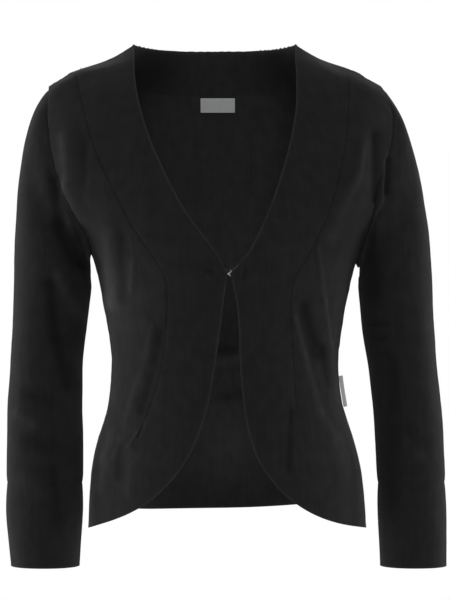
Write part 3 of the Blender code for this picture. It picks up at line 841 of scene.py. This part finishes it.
def seen_from_front(places):
    """Where each place falls on the front elevation, in mm."""
    scale = 1 + places[:, 1] / -EYE.y
    x = EYE.x + (places[:, 0] - EYE.x) / scale
    z = EYE.z + (places[:, 2] - EYE.z) / scale
    return x / MM, z / MM


def write_mark(piece, name, values):
    mark = piece.data.attributes.new(name, "FLOAT", "POINT")
    mark.data.foreach_set("value", values.astype(np.float32))


def get_places(mesh):
    flat = np.empty(len(mesh.vertices) * 3)
    mesh.vertices.foreach_get("co", flat)
    return flat.reshape(-1, 3)


def set_places(mesh, places):
    mesh.vertices.foreach_set("co", places.reshape(-1))
    mesh.update()


def sampled(piece, edges, step=0.002):
    """Points along these edges."""
    points = []
    for a, b in edges:
        start = piece.data.vertices[a].co
        end = piece.data.vertices[b].co
        count = max(int((end - start).length / step), 1)
        points += [start.lerp(end, i / count) for i in range(count)]
    return points


def tube_axis(places):
    """The tube's centre at each height below the armpit, as rows of z, x and y."""
    rows = []
    for z in np.arange(AXIS_BOTTOM_Z, ARMPIT_Z, AXIS_STEP):
        ring = places[np.abs(places[:, 2] - z) < AXIS_REACH]
        if len(ring):
            middle = (ring.min(axis=0) + ring.max(axis=0)) / 2
            rows.append((z, middle[0], middle[1]))
    return np.array(rows)


def write_map(piece, turn, radius):
    """The cloth's own map, in metres of flat cloth. turn gives the angles round the form."""
    mesh = piece.data
    places = get_places(mesh)
    angles = turn(places)
    layer = mesh.uv_layers.new(name="Cloth")
    for face in mesh.polygons:
        corners = [mesh.loops[loop].vertex_index for loop in face.loop_indices]
        wrap = max(angles[corners]) - min(angles[corners]) > math.pi
        for loop, corner in zip(face.loop_indices, corners):
            angle = angles[corner]
            if wrap and angle < 0:
                angle += math.tau
            layer.data[loop].uv = (angle * radius, places[corner, 2])


def finish_piece(piece, material, nodes=()):
    piece.data.materials.clear()
    piece.data.materials.append(material)
    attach(piece, BODY)
    if nodes:
        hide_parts(*nodes)


# ---------------------------------------------------------------- seam allowances


def inner_chains(piece, edges, kept):
    """The inner face's rim as ordered runs of kept corners, with the inward normal at each."""
    shell = bmesh.new()
    shell.from_mesh(piece.data)
    shell.edges.ensure_lookup_table()
    links = {}
    normals = {}
    for index, a, b in edges:
        if a not in kept or b not in kept:
            continue
        edge = shell.edges[index]
        middle = np.array([(edge.verts[0].co + edge.verts[1].co) / 2])
        out = Vector(torso_outward(middle)[0])
        wall = max(edge.link_faces, key=lambda face: face.calc_area())
        if wall.normal.dot(out) > INWARD:
            continue
        for one, other in ((a, b), (b, a)):
            links.setdefault(one, []).append(other)
            normals[one] = normals.get(one, Vector()) + wall.normal
    shell.free()
    chains = []
    left = set(links)
    while left:
        ends = [corner for corner in left if len([n for n in links[corner] if n in left]) < 2]
        run = [min(ends or left)]
        left.discard(run[0])
        while True:
            onward = [n for n in links[run[-1]] if n in left]
            if not onward:
                break
            run.append(onward[0])
            left.discard(onward[0])
        if len(run) > 3:
            closed = run[0] in links[run[-1]]
            places = [(piece.data.vertices[c].co.copy(), normals[c].normalized()) for c in run]
            chains.append((places, closed))
    return chains


def strip_piece(name, places, closed):
    """A flat overlocked allowance that lies along a seam inside the garment."""
    shell = bmesh.new()
    layer = shell.loops.layers.uv.new("Cloth")
    count = len(places)
    rings = []
    length = 0.0
    for i, (co, inward) in enumerate(places):
        before = places[i - 1][0] if i or closed else co
        after = places[(i + 1) % count][0] if i < count - 1 or closed else co
        across = (after - before).cross(inward).normalized()
        if i:
            length += (co - places[i - 1][0]).length
        ring = []
        for side, rise in ((-1, 0), (1, 0), (1, 1), (-1, 1)):
            lift = STRIP_CLEAR + STRIP_THICKNESS * rise
            ring.append(shell.verts.new(co + across * STRIP_HALF * side + inward * lift))
        rings.append((ring, length))
    pairs = list(zip(rings, rings[1:]))
    if closed:
        pairs.append((rings[-1], (rings[0][0], length + STRIP_CLOSING)))
    for (one, start), (other, end) in pairs:
        for k in range(4):
            m = (k + 1) % 4
            face = shell.faces.new((one[k], one[m], other[m], other[k]))
            flat = ((start, k), (start, k + 1), (end, k + 1), (end, k))
            for loop, (u, v) in zip(face.loops, flat):
                loop[layer].uv = (v * STRIP_HALF, u)
    if not closed:
        shell.faces.new(rings[0][0][::-1])
        shell.faces.new(rings[-1][0])
    bmesh.ops.recalc_face_normals(shell, faces=shell.faces)
    mesh = bpy.data.meshes.new(name)
    shell.to_mesh(mesh)
    shell.free()
    piece = bpy.data.objects.new(name, mesh)
    bpy.context.scene.collection.objects.link(piece)
    surface = piece.modifiers.new("surface", "SUBSURF")
    surface.levels = 2
    surface.render_levels = 2
    apply_modifier(piece, surface)
    activate(piece)
    bpy.ops.object.shade_smooth()
    return piece


# ---------------------------------------------------------------- operators


class CARDIGAN_OT_cloth(bpy.types.Operator):
    """Makes the knit panels, sleeves and cuffs, sewn edge to edge and creased as they hang"""

    bl_idname = "cardigan.cloth"
    bl_label = "Knit cloth"

    def execute(self, context):
        for node in CLOTH:
            piece = node_copy(node, f"{node}_cloth")
            if node.startswith("cuff"):
                raise_cuff(piece)
        sewn = close_seams()
        drawn = []
        armholes = []
        free = []
        strips = []
        for node in CLOTH:
            piece = cloth_piece(node)
            edges = weigh_rims(piece, sewn[node])
            joined = sewn[node]
            pairs = [(a, b) for _, a, b in edges]
            sewn_edges = sampled(piece, [(a, b) for a, b in pairs if a in joined and b in joined])
            free_edges = sampled(piece, [(a, b) for a, b in pairs if a not in joined or b not in joined])
            if node.startswith(("sleeve", "cuff")):
                armholes += sewn_edges
                free += [place for place in free_edges if place.z < CUFF_MOUTH_Z]
            else:
                free += free_edges
            if node.startswith("side_front"):
                drawn += [p for p in sewn_edges if p.z > DRAWN_END_Z[p.x > MIDDLE_X]]
                strips.append((node, inner_chains(piece, edges, joined)))
            if node == "back":
                sleeves = {c for c, other in joined.items() if other.startswith("sleeve")}
                strips.append((node, inner_chains(piece, edges, sleeves)))
        hang = Hang(drawn, armholes, free)
        trims = {}
        for node, chains in strips:
            for i, (places, closed) in enumerate(chains):
                strip = strip_piece(f"{node}_seam_{i + 1}", places, closed)
                hang.lay(strip)
                finish_piece(strip, knit_material("Overlock"))
                trims.setdefault(node, []).append(strip)
        for node, cloth, levels, width, length, area in PANELS:
            piece = cloth_piece(node)
            smooth_wall(piece, levels)
            hang.lay(piece)
            if node == "back_neckband":
                scallop(piece)
            write_map(piece, body_turn(node), BODY_RADIUS)
            finish_piece(piece, knit_material(cloth), (node,))
        for node, side, cloth, levels, width, length, area in TUBES:
            piece = cloth_piece(node)
            smooth_wall(piece, levels)
            axis = tube_axis(get_places(piece.data))
            hang.lay(piece, axis)
            write_map(piece, tube_turn(axis, side), TUBE_RADIUS)
            finish_piece(piece, knit_material(cloth), (node,))
        return {"FINISHED"}


def raise_cuff(piece):
    """Draws the cuff's upper rim up and into the sleeve, so that no step shows."""
    places = get_places(piece.data)
    top = places[:, 2].max()
    rim = places[:, 2] > top - CUFF_RIM
    middle = (places[rim].min(axis=0) + places[rim].max(axis=0)) / 2
    outward = places[rim] - middle
    outward[:, 2] = 0
    outward /= np.linalg.norm(outward, axis=1)[:, None]
    places[rim] -= outward * CUFF_IN
    places[rim, 2] += CUFF_UP
    set_places(piece.data, places)


def scallop(piece):
    """Draws the neck edge up, and into small scallops between its linking stitches."""
    places = get_places(piece.data)
    mark = np.empty(len(places), np.float32)
    piece.data.attributes["Edge"].data.foreach_get("value", mark)
    x = places[:, 0] / MM
    places[:, 2] += NECK_RISE * mark
    for start, end in SCALLOPS:
        inside = (x > start) & (x < end)
        wave = np.abs(np.sin((x - start) / SCALLOP_PITCH * math.pi)) - 0.5
        places[:, 2] += np.where(inside, wave * mark, 0) * SCALLOP_HEIGHT * MM
    set_places(piece.data, places)


def body_turn(node):
    facing = 1 if node.startswith("back") else -1

    def turn(places):
        across = (places[:, 0] - MIDDLE_X) / HALF_WIDTH
        return np.arctan2(across, facing * places[:, 1] / HALF_DEPTH)

    return turn


def tube_turn(axis, side):
    def turn(places):
        x = places[:, 0] - np.interp(places[:, 2], axis[:, 0], axis[:, 1])
        y = places[:, 1] - np.interp(places[:, 2], axis[:, 0], axis[:, 2])
        return np.arctan2(y, -side * x)

    return turn


class CARDIGAN_OT_labels(bpy.types.Operator):
    """Finishes the bare neck label and the bare care label"""

    bl_idname = "cardigan.labels"
    bl_label = "Labels"

    def execute(self, context):
        for node, colour, slot in (
            ("neck_label", looks().label_colour, "neck_label_satin"),
            ("care_label", looks().care_colour, "care_label_satin"),
        ):
            piece = node_copy(node, f"{node}_tape")
            for index, _, _ in weigh_rims(piece, ()):
                piece.data.attributes["bevel_weight_edge"].data[index].value = LABEL_ROUND
            smooth_wall(piece, 2)
            finish_piece(piece, satin_material(f"{node} satin", colour), (node,))
        return {"FINISHED"}


class CARDIGAN_OT_closure(bpy.types.Operator):
    """Finishes the hook and eye"""

    bl_idname = "cardigan.closure"
    bl_label = "Hook and eye"

    def execute(self, context):
        for node, colour, metallic, bare_from in WIRES:
            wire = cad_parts[node]
            material = wire_material(f"{node} wire", colour, metallic, bare_from)
            wire.data.materials.clear()
            wire.data.materials.append(material)
        return {"FINISHED"}


def rod(start, end, radius):
    """A round rod between two places, in mm."""
    start, end = start * MM, end * MM
    turn = (end - start).to_track_quat("Z", "Y").to_euler()
    bpy.ops.mesh.primitive_cylinder_add(
        vertices=ROD_SIDES, radius=radius * MM, depth=(end - start).length,
        location=(start + end) / 2, rotation=turn,
    )
    return bpy.context.active_object


def merged(name, pieces):
    """One piece at the origin, with its rims rounded."""
    deselect()
    for piece in pieces:
        piece.select_set(True)
    bpy.context.view_layer.objects.active = pieces[0]
    bpy.ops.object.join()
    piece = bpy.context.active_object
    piece.name = name
    bpy.ops.object.transform_apply(location=True, rotation=True, scale=True)
    rim = piece.modifiers.new("rim", "BEVEL")
    rim.width = ROD_ROUND * MM
    rim.segments = 2
    apply_modifier(piece, rim)
    bpy.ops.object.shade_smooth()
    return piece


class CARDIGAN_OT_fastening(bpy.types.Operator):
    """Adds the bright knot that holds the hook and the thread that holds the eye"""

    bl_idname = "cardigan.fastening"
    bl_label = "Hook knot and thread"

    def execute(self, context):
        deselect()
        bpy.ops.mesh.primitive_uv_sphere_add(
            segments=24, ring_count=16, radius=KNOT_RADIUS * MM, location=KNOT * MM,
        )
        knot = context.active_object
        knot.scale = KNOT_SHAPE
        arms = [rod(KNOT, end, WIRE_RADIUS) for end in (KNOT_REACH, KNOT_TAIL)]
        piece = merged("hook_knot", [knot, *arms])
        finish_piece(piece, wire_material("Hook knot", *KNOT_FINISH))
        thread = merged("eye_thread", [rod(KNOT_REACH, THREAD_END, THREAD_RADIUS)])
        finish_piece(thread, thread_material())
        return {"FINISHED"}


class CARDIGAN_OT_stage(bpy.types.Operator):
    """Sets the camera, the pale floor and the soft studio light"""

    bl_idname = "cardigan.stage"
    bl_label = "Studio"

    def execute(self, context):
        scene = context.scene
        scene.view_settings.view_transform = "Standard"
        scene.view_settings.look = "None"
        lens = bpy.data.cameras.new("Camera")
        lens.sensor_width = SENSOR
        lens.lens = SENSOR * -EYE.y / FRAME_HEIGHT
        lens.clip_end = 50
        camera = bpy.data.objects.new("Camera", lens)
        camera.location = EYE
        camera.rotation_euler = (math.radians(90), 0, 0)
        scene.collection.objects.link(camera)
        scene.camera = camera
        deselect()
        bpy.ops.mesh.primitive_circle_add(
            vertices=96, radius=FLOOR_RADIUS, fill_type="NGON", location=(0, 0, FLOOR_Z),
        )
        floor = context.active_object
        floor.name = "floor"
        paper, _, shader = new_material("Pale paper")
        shader.inputs["Base Color"].default_value = (0.86, 0.86, 0.86, 1)
        shader.inputs["Roughness"].default_value = 0.9
        floor.data.materials.append(paper)
        self.surround(scene)
        for name, place, size, power in LIGHTS:
            lamp = bpy.data.lights.new(name, "AREA")
            lamp.shape = "DISK"
            lamp.size = size
            lamp.energy = power
            light = bpy.data.objects.new(name, lamp)
            light.location = place
            light.rotation_euler = (AIM - Vector(place)).to_track_quat("-Z", "Y").to_euler()
            scene.collection.objects.link(light)
        return {"FINISHED"}

    def surround(self, scene):
        """A white surround that gives the garment only a little light."""
        world = bpy.data.worlds.new("Studio")
        world.use_nodes = True
        tree = world.node_tree
        background = tree.nodes["Background"]
        background.inputs["Color"].default_value = (1, 1, 1, 1)
        path = tree.nodes.new("ShaderNodeLightPath")
        strength = ranged(tree, path.outputs["Is Camera Ray"], *SURROUND)
        tree.links.new(strength, background.inputs["Strength"])
        scene.world = world


class CARDIGAN_PT_panel(bpy.types.Panel):
    """Lists the garment's pieces"""

    bl_idname = "CARDIGAN_PT_panel"
    bl_label = "Cropped cardigan"
    bl_space_type = "VIEW_3D"
    bl_region_type = "UI"
    bl_category = "Cardigan"

    def draw(self, context):
        for name in CardiganLooks.__annotations__:
            self.layout.prop(looks(), name)
        for operator in PIECES:
            self.layout.operator(operator.bl_idname)


PIECES = (
    CARDIGAN_OT_cloth,
    CARDIGAN_OT_labels,
    CARDIGAN_OT_closure,
    CARDIGAN_OT_fastening,
    CARDIGAN_OT_stage,
)


def register():
    for item in (CardiganLooks, *PIECES, CARDIGAN_PT_panel):
        bpy.utils.register_class(item)
    bpy.types.Scene.cardigan_looks = PointerProperty(type=CardiganLooks)


def unregister():
    del bpy.types.Scene.cardigan_looks
    for item in reversed((CardiganLooks, *PIECES, CARDIGAN_PT_panel)):
        bpy.utils.unregister_class(item)


def main():
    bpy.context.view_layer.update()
    register()
    deselect()
    bpy.ops.cardigan.cloth()
    bpy.ops.cardigan.labels()
    bpy.ops.cardigan.closure()
    bpy.ops.cardigan.fastening()
    bpy.ops.cardigan.stage()


if __name__ == "__main__":
    main()
